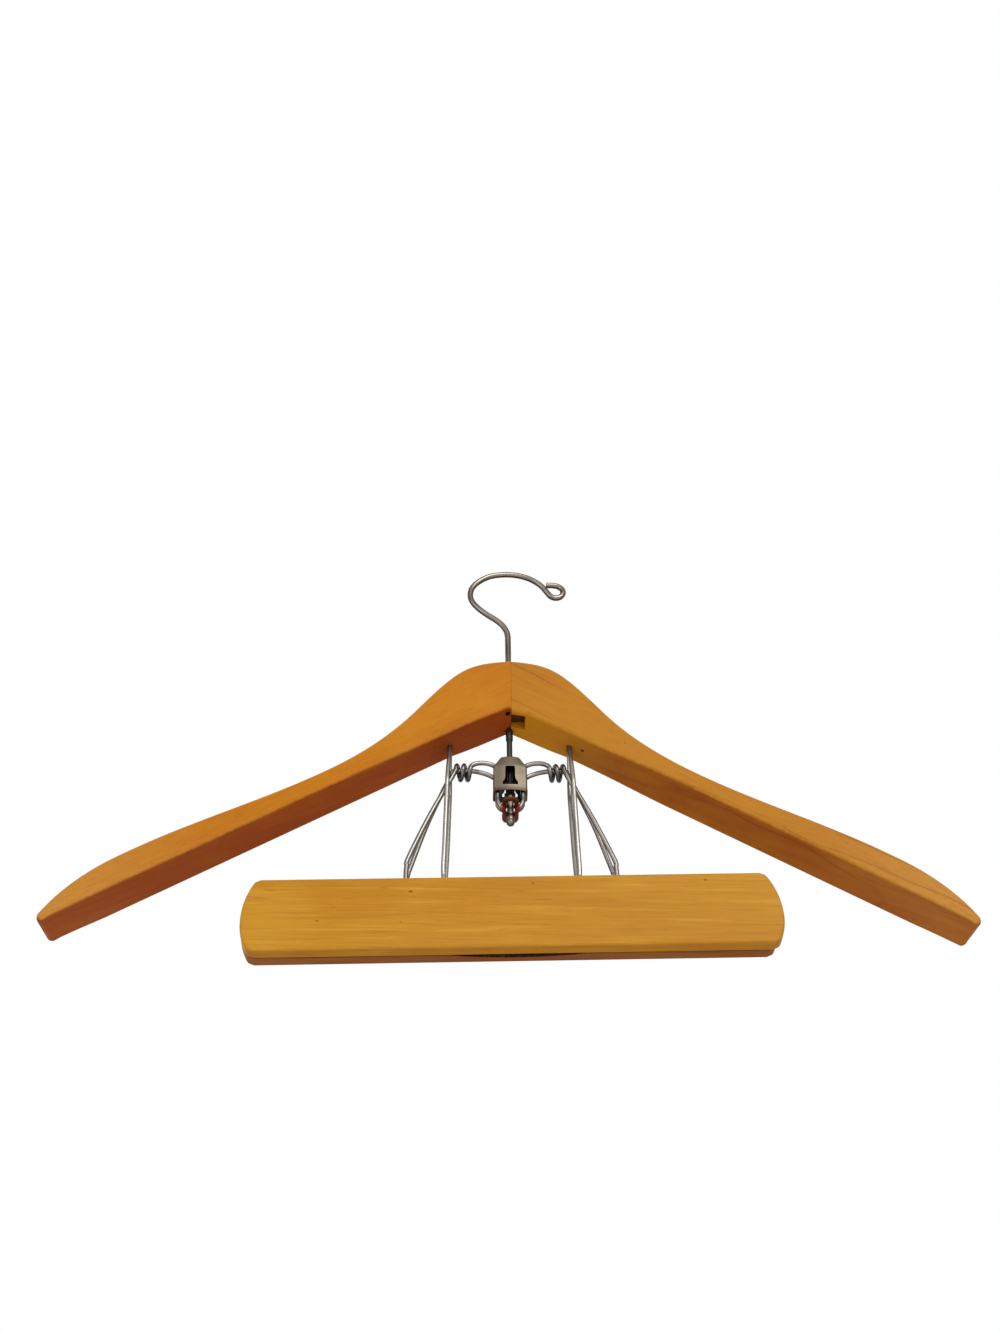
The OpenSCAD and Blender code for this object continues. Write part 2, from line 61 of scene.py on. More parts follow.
class Sock:
    def __init__(self, finish, socket):
        self.finish = finish
        self.socket = socket

    def math(self, operation, a, b=None, c=None, clamp=False):
        settings = {"operation": operation, "use_clamp": clamp}
        return self.finish.add("ShaderNodeMath", settings, {0: a, 1: b, 2: c})

    def __add__(self, other):
        return self.math("ADD", self, other)

    def __radd__(self, other):
        return self.math("ADD", other, self)

    def __sub__(self, other):
        return self.math("SUBTRACT", self, other)

    def __rsub__(self, other):
        return self.math("SUBTRACT", other, self)

    def __mul__(self, other):
        return self.math("MULTIPLY", self, other)

    def __rmul__(self, other):
        return self.math("MULTIPLY", other, self)

    def output(self, which):
        return Sock(self.finish, self.socket.node.outputs[which])

    def held(self):
        return self.math("ADD", self, 0.0, clamp=True)

    def fade(self, low, high):
        settings = {"interpolation_type": "SMOOTHSTEP"}
        return self.finish.add("ShaderNodeMapRange", settings, {"Value": self, "From Min": low, "From Max": high})

    def size(self):  # without its sign
        return self.math("ABSOLUTE", self)


# The nodes of one material, or of the world
class Finish:
    def __init__(self, name, library="materials"):
        self.owner = getattr(bpy.data, library).new(name)
        self.owner.use_nodes = True
        self.tree = self.owner.node_tree
        self.tree.nodes.clear()

    def add(self, kind, settings=None, sockets=None, out=0):
        node = self.tree.nodes.new(kind)
        for key, value in (settings or {}).items():
            setattr(node, key, value)
        for key, value in (sockets or {}).items():
            if isinstance(value, Sock):
                self.tree.links.new(value.socket, node.inputs[key])
            elif value is not None:
                node.inputs[key].default_value = value
        return Sock(self, node.outputs[out]) if node.outputs else None

    def blendColour(self, share, a, b, how="MIX"):
        a = (*a, 1) if isinstance(a, tuple) else a
        b = (*b, 1) if isinstance(b, tuple) else b
        return self.add("ShaderNodeMix", {"data_type": "RGBA", "blend_type": how}, {0: share, 6: a, 7: b}, 2)

    def vector(self, operation, a, b=None, scale=None, out=0):
        return self.add("ShaderNodeVectorMath", {"operation": operation}, {0: a, 1: b, "Scale": scale}, out)

    def noise(self, at, scale, detail=2.0, rough=0.5):
        sockets = {"Vector": at, "Scale": scale, "Detail": detail, "Roughness": rough}
        return self.add("ShaderNodeTexNoise", {}, sockets)

    def position(self):
        return self.add("ShaderNodeTexCoord", {}, {}, "Object")

    def normal(self):
        return self.add("ShaderNodeNewGeometry", {}, {}, "Normal")

    def shader(self, **sockets):
        named = {key.replace("_", " "): value for key, value in sockets.items()}
        self.add("ShaderNodeOutputMaterial", {}, {"Surface": self.add("ShaderNodeBsdfPrincipled", {}, named)})
        return self.owner


# How often each pattern of the wood repeats in a metre, along the grain and across it
grain = {
    "drift": (6, 20, 20), "wobble": (14, 80, 80), "fleck": (75, 620, 620), "fibre": (30, 1700, 1700),
    "streak": (16, 430, 430), "pore": (130, 2300, 2300), "patch": (11, 34, 34), "run": (18, 110, 110),
}
# Where along the arms a change begins and is complete, in metres out from the middle
reach = {
    "tipPale": (0.12, 0.22), "tipWear": (0.19, 0.222), "endFace": (0.214, 0.22), "underside": (0.012, 0.06),
    "paintedLight": (0.014, 0.055),
}


# Wood: the grain runs along the piece, turned by turn degrees about Y. underside holds how much the downward faces are
# darkened and reddened, near the middle and further out, as old red varnish and painted shade, and how much painted
# light brightens them
def woodFinish(name, tone, turn, seed, heart, specks=(), underside=(0.0, 0.0, 0.0), seamAt=None):
    f = Finish(name)
    here = f.position()
    start = Vector((seed * 0.137, seed * 0.031, seed * 0.071))
    along = f.add("ShaderNodeMapping", {}, {"Vector": here, "Rotation": (0, math.radians(turn), 0), "Location": start})

    def pattern(kind, detail, rough=0.5):
        return f.noise(f.vector("MULTIPLY", along, grain[kind]), 1.0, detail, rough)

    x = f.add("ShaderNodeSeparateXYZ", {}, {"Vector": here})
    out = x.size()
    # growth rings about a heart line that lies off the piece
    fromHeart = f.vector("SUBTRACT", along, start + Vector((0, heart[0], heart[1])))
    radius = f.vector("LENGTH", f.vector("MULTIPLY", fromHeart, (heart[2], 1, 1)), out=1)
    ring = radius * tone["rings"] + pattern("drift", 2.0) * tone["ringDrift"] + pattern("wobble", 3.0) * 0.5
    ring = ring.math("FRACT", ring)
    late = ring.fade(0.60, 0.94) * (1 - ring.fade(0.95, 1.0))
    line = ring.fade(0.88, 0.94) * (1 - ring.fade(0.95, 0.99))
    fleck = pattern("fleck", 2.0)
    fibre = pattern("fibre", 3.0, 0.6)
    streak = pattern("streak", 3.0, 0.6)
    patch = pattern("patch", 3.0, 0.55)
    cloud = f.noise(here, 14.0, 4.0, 0.6)
    colour = f.blendColour(patch.fade(0.36, 0.66), tone["base"], tone["warm"])
    colour = f.blendColour(cloud.fade(0.46, 0.72) * 0.55, colour, tone["pale"])
    colour = f.blendColour(out.fade(*reach["tipPale"]) * tone["tipPale"], colour, tone["tip"])
    strength = (late * 0.16 + line * 0.84) * patch.fade(0.30, 0.62) * (0.5 + fibre)
    colour = f.blendColour((strength * tone["ringDepth"]).held(), colour, tone["late"])
    dark = (fibre.fade(0.44, 0.70) * tone["fibreDepth"] + streak.fade(0.50, 0.74) * 0.30).held()
    colour = f.blendColour(dark, colour, tone["fibre"])
    colour = f.blendColour((1 - streak.fade(0.30, 0.47)) * tone["paleStreak"], colour, tone["pale"])
    short = fleck.fade(0.66, 0.76) * (0.35 + patch.fade(0.35, 0.6) * 0.65)
    colour = f.blendColour((short * tone["fleckDepth"]).held(), colour, tone["late"])
    pits = pattern("pore", 1.0, 0.4).fade(0.68, 0.78)
    colour = f.blendColour(pits * 0.22, colour, tone["pit"])
    # undersides darker and redder in runs and smears: partly old red varnish, partly painted shade
    normal = f.normal()
    down = f.vector("DOT_PRODUCT", normal, (0, 0, -1), out=1).fade(0.45, 0.85)
    smear = f.noise(here, 40.0, 4.0, 0.6)
    near, far, paintedLight = underside
    left = mix(near, far, out.fade(*reach["underside"]))
    red = (down * (left + (pattern("run", 3.0, 0.55) - 0.5) * 0.7 + (smear - 0.5) * 0.5)).held()
    colour = f.blendColour(red, colour, tone["red"], "MULTIPLY")
    # painted light: a lighter patch on the undersides near the middle
    if paintedLight:
        lit = down * (1 - out.fade(*reach["paintedLight"])) * paintedLight * (0.7 + cloud * 0.6)
        colour = f.blendColour(lit, colour, tone["paintedLight"])
    # the varnish is rubbed at the edges, most of all at the tips, whose end faces stay red; along the rounded edges the
    # lighter colour is also a painted highlight
    edge = f.add("ShaderNodeAttribute", {"attribute_name": "edge"}, {}, "Fac")
    chafe = f.noise(here, 420.0, 3.0, 0.6)
    wearAndPaintedSheen = 0.25 + chafe.fade(0.42, 0.62) * 0.4 + out.fade(*reach["tipWear"]) * tone["tipWear"]
    worn = (edge.fade(0.5, 1.0) * wearAndPaintedSheen).held()
    colour = f.blendColour(worn * tone["wear"], colour, tone["bare"])
    if tone["tipWear"]:
        side = f.add("ShaderNodeSeparateXYZ", {}, {"Vector": normal})
        endFace = side.size().fade(0.6, 0.9) * out.fade(*reach["endFace"]) * 0.8
        colour = f.blendColour(endFace, colour, tone["red"], "MULTIPLY")
    mark = None
    for sx, sz, size in specks:
        apart = f.vector("SUBTRACT", here, (sx * 0.001, 0, (sz + hung["z"]) * 0.001))
        away = f.vector("LENGTH", f.vector("MULTIPLY", apart, (0.75, 0, 1.0)), out=1)
        one = 1 - (away + (fibre - 0.5) * 0.0006).fade(size * 0.0003, size * 0.0008)
        mark = one if mark is None else mark.math("MAXIMUM", mark, one)
    if mark is not None:
        colour = f.blendColour(mark * 0.7, colour, tone["pit"])
    if seamAt is not None:
        away = (x - seamAt * 0.001).size()
        ragged = f.noise(f.vector("MULTIPLY", here, (900, 300, 420)), 1.0, 2.0)
        glue = (1 - (away + (ragged - 0.5) * 0.0004).fade(0.00004, 0.0004)) * (0.12 + ragged.fade(0.42, 0.66) * 0.6)
        colour = f.blendColour(glue.held(), colour, tone["glue"])
    rough = (tone["rough"] + (fibre - 0.5) * 0.22 + worn * 0.18 + (cloud - 0.5) * 0.2).held()
    height = fibre * 0.45 + streak * 0.35 + late * 0.3 - pits * 0.6
    bump = f.add("ShaderNodeBump", {}, {"Strength": tone["bump"], "Distance": 0.00016, "Height": height})
    coat = (tone["coat"] + (cloud - 0.5) * 0.1 - worn * 0.1).held()
    return f.shader(Base_Color=colour, Roughness=rough, Normal=bump, Coat_Weight=coat, Coat_Roughness=0.3,
                    Specular_IOR_Level=0.09)


# Where the clamp's wires change, in metres out from the rod and up from the flat under the crown
zone = {
    "coilInner": (0.0185, 0.0200), "coilOuter": (0.0270, 0.0290), "coilFoot": (-0.040, -0.034),
    "sleeveWide": (0.0070, 0.0095), "sleeveFoot": (-0.0448, -0.0430),
    "rustWide": (0.0040, 0.0054), "rustTop": (-0.0496, -0.0470), "crossing": (-0.0052, -0.0036),
}


# Plated wire and sheet, dulled with age, with a painted reflection: lighter in front and behind, painted shade at the
# sides and in the coils
def metalFinish(name, tone, seed, drawn=(300, 300, 18), clampZones=False):
    f = Finish(name)
    here = f.position()
    moved = f.vector("ADD", here, (seed * 0.11, seed * 0.07, seed * 0.05))
    patch = f.noise(moved, tone["patchScale"], 4.0, 0.6)
    fine = f.noise(moved, tone["patchScale"] * 9, 3.0, 0.6)
    lines = f.noise(f.vector("MULTIPLY", moved, drawn), 4.0, 2.0, 0.5)
    normal = f.normal()
    # painted reflection: lighter where the surface faces the front or the back, painted shade at the sides
    front = f.vector("DOT_PRODUCT", normal, (0, -0.8, -0.6), out=1)
    behind = f.vector("DOT_PRODUCT", normal, (0, 0.75, 0.07), out=1)
    wearAndPaintedSheen = front.math("MAXIMUM", front, behind)
    wearAndPaintedSheen = (wearAndPaintedSheen + (patch - 0.5) * 0.45 + (lines - 0.5) * 0.1).fade(tone["paintedSheenLow"], tone["paintedSheenHigh"])
    colour = f.blendColour(wearAndPaintedSheen, tone["side"], tone["bright"])
    dull = (patch.fade(0.42, 0.70) * 0.6 + (fine - 0.5) * 0.25).held()
    colour = f.blendColour(dull * tone["dullness"], colour, tone["dull"])
    pits = fine.fade(0.66, 0.76)
    colour = f.blendColour(pits * tone["pits"], colour, tone["rust"])
    apart = f.add("ShaderNodeSeparateXYZ", {}, {"Vector": here})
    x, y, z = apart.size(), apart.output(1), apart.output(2) - hung["z"] * 0.001
    rust = None
    if clampZones:
        # painted shade in the coils and inside the sleeve; rusted where the wires cross behind and in front of the rod
        coil = x.fade(*zone["coilInner"]) * (1 - x.fade(*zone["coilOuter"])) * z.fade(*zone["coilFoot"])
        inside = (1 - x.fade(*zone["sleeveWide"])) * z.fade(*zone["sleeveFoot"])
        coilAndSleeveShade = (coil * 0.5 + inside * 0.92 + (patch - 0.5) * coil * 1.5).held()
        colour = f.blendColour(coilAndSleeveShade, colour, tone["rust"])
        rust = (1 - x.fade(*zone["rustWide"])) * (1 - z.fade(*zone["rustTop"])) * (1.0 + (fine - 0.5) * 0.6)
        rust = rust.held()
        crossing = (1 - (y + x * 0.35).fade(*zone["crossing"])) * (0.8 + (patch - 0.5))
        colour = f.blendColour(rust, colour, f.blendColour(crossing.held(), tone["red"], tone["grime"]))
    if tone["worn"] is not None:
        at, wide = tone["worn"]
        away = f.vector("LENGTH", f.vector("SUBTRACT", here, at), out=1)
        under = 1 - front.fade(0.55, 0.95)
        colour = f.blendColour((1 - away.fade(wide * 0.3, wide)) * under * 0.85, colour, tone["rust"])
    if tone["foot"] is not None:
        low = 1 - (z + (fine - 0.5) * 0.003).fade(tone["foot"], tone["foot"] + 0.003)
        colour = f.blendColour(low * 0.85, colour, tone["footTone"])
    rough = (tone["rough"] + dull * 0.16 + (lines - 0.5) * 0.06 + pits * 0.1).held()
    metal = tone["metal"] - pits * 0.4 - dull * tone["film"]
    if rust is not None:
        metal = metal - rust * 0.15
        rough = (rough + rust * 0.3).held()
    height = fine * 0.6 + lines * 0.2 - pits * 0.6
    bump = f.add("ShaderNodeBump", {}, {"Strength": tone["bump"], "Distance": 0.00005, "Height": height})
    return f.shader(Base_Color=colour, Roughness=rough, Metallic=metal.held(), Normal=bump)


wood = {
    "base": (0.50, 0.172, 0.004), "warm": (0.455, 0.142, 0.003), "pale": (0.56, 0.215, 0.010),
    "late": (0.30, 0.085, 0.003), "fibre": (0.37, 0.110, 0.003), "pit": (0.10, 0.030, 0.004),
    "red": (0.66, 0.33, 0.40), "bare": (0.62, 0.30, 0.06), "glue": (0.17, 0.06, 0.006),
    "paintedLight": (0.60, 0.215, 0.004), "tip": (0.54, 0.25, 0.045),
    "rings": 150.0, "ringDrift": 3.2, "ringDepth": 0.30, "wear": 0.5, "rough": 0.46, "coat": 0.04, "bump": 0.3,
    "tipPale": 0.65, "tipWear": 0.8, "paleStreak": 0.14, "fibreDepth": 0.30, "fleckDepth": 0.55,
}
boardWood = dict(wood, base=(0.505, 0.222, 0.010), warm=(0.48, 0.195, 0.007), pale=(0.58, 0.285, 0.022),
                 late=(0.37, 0.14, 0.006), fibre=(0.39, 0.155, 0.006), rings=190.0, ringDepth=0.25, tipPale=0.0,
                 tipWear=0.0, paleStreak=0.6, fibreDepth=0.55, fleckDepth=0.75, wear=0.35,
                 bare=(0.50, 0.28, 0.09))
rearWood = dict(boardWood, base=(0.285, 0.098, 0.022), warm=(0.25, 0.078, 0.015), pale=(0.35, 0.15, 0.045),
                wear=0.2)
leftWood = dict(wood, ringDepth=0.22, rings=110.0)
rightWood = dict(wood, ringDepth=0.75, rings=95.0, base=(0.455, 0.180, 0.006), warm=(0.435, 0.158, 0.004),
                 late=(0.27, 0.085, 0.003))
recessShadeWood = dict(wood, base=(0.075, 0.024, 0.004), warm=(0.05, 0.015, 0.003), pale=(0.12, 0.042, 0.006),
                  bare=(0.1, 0.03, 0.005))
holeShadeWood = dict(wood, base=(0.02, 0.008, 0.003), warm=(0.014, 0.006, 0.002), pale=(0.03, 0.012, 0.004),
                bare=(0.02, 0.008, 0.003))
# bright is the colour of the painted reflection on faces toward the front and back, side the painted shade at the sides
nickel = {
    "bright": (0.38, 0.35, 0.31), "side": (0.05, 0.04, 0.034), "dull": (0.17, 0.145, 0.12),
    "rust": (0.035, 0.024, 0.018), "red": (0.21, 0.022, 0.004), "grime": (0.055, 0.026, 0.014),
    "patchScale": 45.0, "dullness": 0.7, "pits": 0.3, "rough": 0.30, "metal": 0.95, "film": 0.15, "bump": 0.15,
    "paintedSheenLow": 0.46, "paintedSheenHigh": 1.06, "foot": None, "footTone": None, "worn": None,
}
hookNickel = dict(nickel, bright=(0.37, 0.325, 0.27), side=(0.042, 0.03, 0.022), dull=(0.085, 0.062, 0.045),
                  rough=0.25, patchScale=32.0, dullness=0.85, paintedSheenLow=0.56, paintedSheenHigh=1.08, foot=0.052,
                  footTone=(0.13, 0.105, 0.06), worn=((0.002, 0.0, 0.0), 0.010))
springNickel = dict(nickel, bright=(0.50, 0.475, 0.425), side=(0.09, 0.08, 0.07), metal=0.72, paintedSheenLow=0.35, film=0.0)
sleeveNickel = dict(nickel, bright=(0.185, 0.150, 0.108), side=(0.11, 0.088, 0.058), dull=(0.10, 0.08, 0.052),
                    patchScale=110.0, rough=0.34, paintedSheenLow=0.0, paintedSheenHigh=1.0, dullness=0.5, foot=-0.0432,
                    footTone=(0.07, 0.048, 0.028))
# below foot, where the rod stands inside the sleeve, its colour turns near-black: painted shade
darkSteel = dict(nickel, bright=(0.07, 0.058, 0.054), side=(0.012, 0.01, 0.009), dull=(0.018, 0.014, 0.013),
                 rust=(0.06, 0.022, 0.014), rough=0.5, metal=0.6, foot=-0.0235, footTone=(0.006, 0.005, 0.005))
bradSteel = dict(darkSteel, bright=(0.07, 0.018, 0.010), side=(0.05, 0.012, 0.007), metal=0.2)
ferruleBrass = dict(nickel, bright=(0.24, 0.21, 0.155), side=(0.04, 0.027, 0.018), dull=(0.08, 0.05, 0.03),
                    rough=0.36)

# Small dark specks: across, up and size, in millimetres
barSpecks = ((-47.4, -106.9, 1.2), (9.7, -101.7, 0.9), (91.3, -99.2, 1.0), (-90.0, -124.0, 0.8), (-51.5, -124.2, 0.7))
armSpecks = {"left": ((-24.0, 24.5, 0.6),), "right": ((58.0, -16.0, 0.6),)}
finishes = {
    # underside amounts: the left arm's darker, redder underside is partly painted shade, the right arm's lighter
    # underside near the middle is painted light
    "leftArm": woodFinish("wornGoldenWoodLeft", leftWood, 28.1, 1.0, (0.055, -0.11, 0.16), armSpecks["left"],
                          (1.05, 0.95, 0.0), 0.8),
    "rightArm": woodFinish("wornGoldenWoodRight", rightWood, -28.1, 2.0, (0.05, 0.075, 0.17), armSpecks["right"],
                           (0.0, 0.66, 0.6), 0.8),
    "frontBoard": woodFinish("goldenBoardFront", boardWood, 0.0, 3.0, (0.09, -0.04, 0.05), barSpecks,
                             (0.15, 0.15, 0.0)),
    "rearBoard": woodFinish("reddishBoardRear", rearWood, 0.0, 4.0, (-0.08, 0.05, 0.05), (), (0.5, 0.35, 0.0)),
    # recess shade: near-black wood painted on the faces of holes, slots and the tongue as shade
    "recessShade": woodFinish("paintedRecessShade", recessShadeWood, 90.0, 5.0, (0.05, 0.05, 1.0)),
    "pitch": woodFinish("paintedHoleShade", holeShadeWood, 90.0, 6.0, (0.05, 0.05, 1.0)),
    "hook": metalFinish("agedNickelHook", hookNickel, 1.5),
    "wire": metalFinish("agedNickelWire", nickel, 2.0, clampZones=True),
    "hairpin": metalFinish("agedNickelSpring", springNickel, 3.0),
    "sleeve": metalFinish("dulledNickelSleeve", sleeveNickel, 4.0, (60, 60, 60)),
    "ferrule": metalFinish("wornFerrule", ferruleBrass, 6.0),
    "dark": metalFinish("darkRodAndSleeveShade", darkSteel, 5.0),
    "brad": metalFinish("rustyBrad", bradSteel, 7.0),
}
print("finishes made")


# Mesh helpers

def newPiece(name, bm, finish, body=None, nodes=(), smooth=40):
    mesh = bpy.data.meshes.new(name)
    bmesh.ops.recalc_face_normals(bm, faces=bm.faces)
    bm.to_mesh(mesh)
    bm.free()
    piece = bpy.data.objects.new(name, mesh)
    bpy.context.scene.collection.objects.link(piece)
    mesh.materials.append(finishes[finish])
    mesh.shade_smooth()
    mesh.set_sharp_from_angle(angle=math.radians(smooth))
    if body:
        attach(piece, body)
        if nodes:
            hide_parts(*nodes)
    return piece


# A closed solid through rings of the same number of points. marks holds one value per ring for the edges' wear and
# painted highlight
def ringSolid(rings, marks=None):
    bm = bmesh.new()
    layer = bm.verts.layers.float.new("edge")
    rows = []
    for k, ring in enumerate(rings):
        rows.append([bm.verts.new(place(p)) for p in ring])
        for v in rows[-1]:
            v[layer] = marks[k] if marks else 0.0
    n = len(rings[0])
    for a, b in zip(rows, rows[1:]):
        for j in range(n):
            bm.faces.new((a[j], a[(j + 1) % n], b[(j + 1) % n], b[j]))
    bm.faces.new(list(reversed(rows[0])))
    bm.faces.new(rows[-1])
    return bm


def disc(x, y, z, r, sides):
    turns = (2 * math.pi * k / sides for k in range(sides))
    return [(x + r * math.cos(a), y + r * math.sin(a), z) for a in turns]


def boxSolid(low, high):
    bm = bmesh.new()
    bmesh.ops.create_cube(bm, size=1.0)
    a, b = place(low), place(high)
    for v in bm.verts:
        v.co = Vector((mix(a[i], b[i], v.co[i] + 0.5) for i in range(3)))
    return bm


def cut(piece, cutters):
    for cutter in cutters:
        change = piece.modifiers.new("cut", "BOOLEAN")
        change.operation = "DIFFERENCE"
        change.solver = "EXACT"
        change.object = cutter
        # the cut faces take the cutter's finish; most cutters carry painted shade for holes and slots
        change.material_mode = "TRANSFER"
        bpy.context.view_layer.update()
        graph = bpy.context.evaluated_depsgraph_get()
        result = bpy.data.meshes.new_from_object(piece.evaluated_get(graph), depsgraph=graph)
        piece.modifiers.clear()
        piece.data = result
    for cutter in cutters:
        bpy.data.objects.remove(cutter)
    withoutFolds(piece.data)
    piece.data.shade_smooth()
    piece.data.set_sharp_from_angle(angle=math.radians(40))


# A cut can leave folds of no thickness: a face and its reverse on the same points
def withoutFolds(mesh):
    bm = bmesh.new()
    bm.from_mesh(mesh)
    bmesh.ops.remove_doubles(bm, verts=bm.verts, dist=1e-7)
    bmesh.ops.triangulate(bm, faces=[face for face in bm.faces if len(face.verts) > 4])
    shared = {}
    for face in bm.faces:
        shared.setdefault(frozenset(face.verts), []).append(face)
    folds = [face for faces in shared.values() if len(faces) > 1 for face in faces]
    bmesh.ops.delete(bm, geom=folds, context="FACES")
    bm.to_mesh(mesh)
    bm.free()


def weighted(piece):
    change = piece.modifiers.new("flatFaces", "WEIGHTED_NORMAL")
    change.keep_sharp = True
    change.weight = 60


def boxCutter(low, high, finish="recessShade"):
    return newPiece("cutter", boxSolid(low, high), finish)


def rodCutter(base, r, h, finish="recessShade"):
    x, y, z = base
    return newPiece("cutter", ringSolid([disc(x, y, end, r, 40) for end in (z, z + h)]), finish)


# A wire of radius r along points, with the ring turned as little as possible from one point to the next
def wireMesh(points, r, sides=20, dome=0.0):
    p = [Vector(points[0])]
    for q in points[1:]:
        if (Vector(q) - p[-1]).length > 0.02:
            p.append(Vector(q))
    n = len(p)
    headings = [(p[min(i + 1, n - 1)] - p[max(i - 1, 0)]).normalized() for i in range(n)]
    side = Vector((1, 0, 0)) if abs(headings[0].x) < 0.8 else Vector((0, 0, 1))
    turns = [2 * math.pi * j / sides for j in range(sides)]
    rings = []
    for i in range(n):
        side = (side - headings[i] * side.dot(headings[i])).normalized()
        other = headings[i].cross(side)
        rings.append([tuple(p[i] + (side * math.cos(a) + other * math.sin(a)) * r) for a in turns])
    if dome:
        def shrunk(ring, centre, share, shift):
            return [tuple(centre + (Vector(q) - centre) * share + shift) for q in ring]
        first = [shrunk(rings[0], p[0], s, -headings[0] * d * dome) for s, d in ((0.55, 1.0), (0.86, 0.6))]
        last = [shrunk(rings[-1], p[-1], s, headings[-1] * d * dome) for s, d in ((0.86, 0.6), (0.55, 1.0))]
        rings = first + rings + last
    return ringSolid(rings)


def curveThrough(points, steps):
    p = [Vector(q) for q in points]
    n = len(p)
    found = []
    for i in range(n - 1):
        a, b, c, d = p[max(i - 1, 0)], p[i], p[i + 1], p[min(i + 2, n - 1)]
        for k in range(steps):
            t = k / steps
            found.append(0.5 * (2 * b + (c - a) * t + (2 * a - 5 * b + 4 * c - d) * t * t
                                + (3 * b - 3 * c + d - a) * t * t * t))
    return [tuple(q) for q in found] + [tuple(p[-1])]


def flipped(points):
    return [(-q[0], q[1], q[2]) for q in points]


# The clamp is drawn about the rod, which stands behind the arms' middle
def movedBack(points):
    return [(q[0], q[1] + arm["rodY"], q[2]) for q in points]


# Wooden arms

arm = {
    "length": 224.5, "thick": 17.4, "fall": 0.534, "sweep": 6.0, "crown": 36.6, "flat": 7.7, "crownFace": 39.3,
    "neck": 13.1, "neckAt": 94.0, "paddle": 19.7, "paddleAt": 182.0, "edge": 1.8, "seam": 0.8,
    "tongueY": -1.6, "tongueThick": 8.0, "tongueLong": 7.0, "tongueGap": 3.2, "rodY": 5.5, "rodHole": 1.7,
    "fullBack": 1.5, "fullFront": 1.0, "ridge": (0.85, 0.40), "frontUp": (1.0, 1.7), "rearDown": (0.0, 1.1),
    "topUp": (0.0, 0.9), "endSlant": (1.2, 2.8), "tipCorner": 3.0, "vee": 0.395, "tongueTop": 28.4, "tongueRoot": 0.4,
    "brad": (6.8, 0.8, 12.1), "seamHole": (-0.9, -4.7, 1.25, 6.4),
}
# The hairpins' values stand here because their slots in the arms follow them
hairpin = {"wire": 1.15, "x": 30.2, "footX": 31.9, "spread": 6.4, "depth": 14.0, "apart": 0.6, "slotUp": 16.2}
lineZ = arm["fall"] * arm["flat"]


def hermite(x, x0, y0, m0, x1, y1, m1):
    w = x1 - x0
    t = (x - x0) / w
    return ((2 * t ** 3 - 3 * t ** 2 + 1) * y0 + (t ** 3 - 2 * t ** 2 + t) * w * m0
            + (3 * t ** 2 - 2 * t ** 3) * y1 + (t ** 3 - t ** 2) * w * m1)


def faceHeight(s):
    s = abs(s)
    midAt, crownAt = arm["neckAt"] / 2, arm["neckAt"] * 0.223
    midH = mix(arm["neck"], arm["crownFace"], 0.507)
    if s < crownAt:
        return hermite(s, 0, arm["crown"] - lineZ, arm["fall"], crownAt, arm["crownFace"], 0)
    if s < midAt:
        return hermite(s, crownAt, arm["crownFace"], 0, midAt, midH, -0.72)
    if s < arm["neckAt"]:
        return hermite(s, midAt, midH, -0.72, arm["neckAt"], arm["neck"], 0)
    if s < arm["paddleAt"]:
        return hermite(s, arm["neckAt"], arm["neck"], 0, arm["paddleAt"], arm["paddle"], 0)
    return hermite(s, arm["paddleAt"], arm["paddle"], 0, arm["length"], arm["paddle"] * 0.27, -1.0)


def lineAt(s):
    return lineZ - arm["fall"] * abs(s)


def underAt(s):
    return lineZ - arm["fall"] * max(abs(s), arm["flat"])


def armOutline(s0):
    tip, r = arm["length"], arm["tipCorner"]
    cx, cz = tip - r - 0.6, lineAt(tip - r) + r * 1.05
    under = [mix(s0, arm["flat"] * 1.1, k / 8) for k in range(1, 8)]
    under += [mix(arm["flat"] * 1.15, tip - r * 2.6, k / 30) for k in range(31)]
    corner = [math.radians(-100 + k * 13) for k in range(9)]
    p = [(s0, 0.0)] + [(s, underAt(s)) for s in under] + [(cx + r * math.cos(a), cz + r * math.sin(a)) for a in corner]
    top = [mix(tip, tip - 12, 0.06 + 0.94 * k / 10) for k in range(11)]
    top += [mix(tip - 12, arm["neckAt"], k / 36) for k in range(1, 37)]
    top += [mix(arm["neckAt"], s0, k / 64) for k in range(1, 65)]
    p += [(s, lineAt(s) + faceHeight(s)) for s in top]
    return p


def insetRing(p, e):
    n = len(p)
    found = []
    for i in range(n):
        tx, tz = p[(i + 1) % n][0] - p[i - 1][0], p[(i + 1) % n][1] - p[i - 1][1]
        size = math.hypot(tx, tz)
        found.append((p[i][0] - e * tz / size, p[i][1] + e * tx / size))
    return found


# The outline drawn in, with its two ends kept at the seam
def drawnIn(p, e):
    found = insetRing(p, e)
    found[0] = (p[0][0], p[0][1] + e)
    found[-1] = (p[-1][0], p[-1][1] - e)
    return found


# Inset, depth and edge mark (wear and painted highlight) of each row of points round a rounded edge
def roundRows(half, r, steps=7):
    turns = [math.radians(90 * k / steps) for k in range(steps + 1)]
    front = [(r * (1 - math.sin(a)), -half + r * (1 - math.cos(a)), math.sin(2 * a)) for a in turns]
    return front + [(e, -y, mark) for e, y, mark in reversed(front)]


def eased(t):
    t = min(max(t, 0), 1)
    return t * t * (3 - 2 * t)


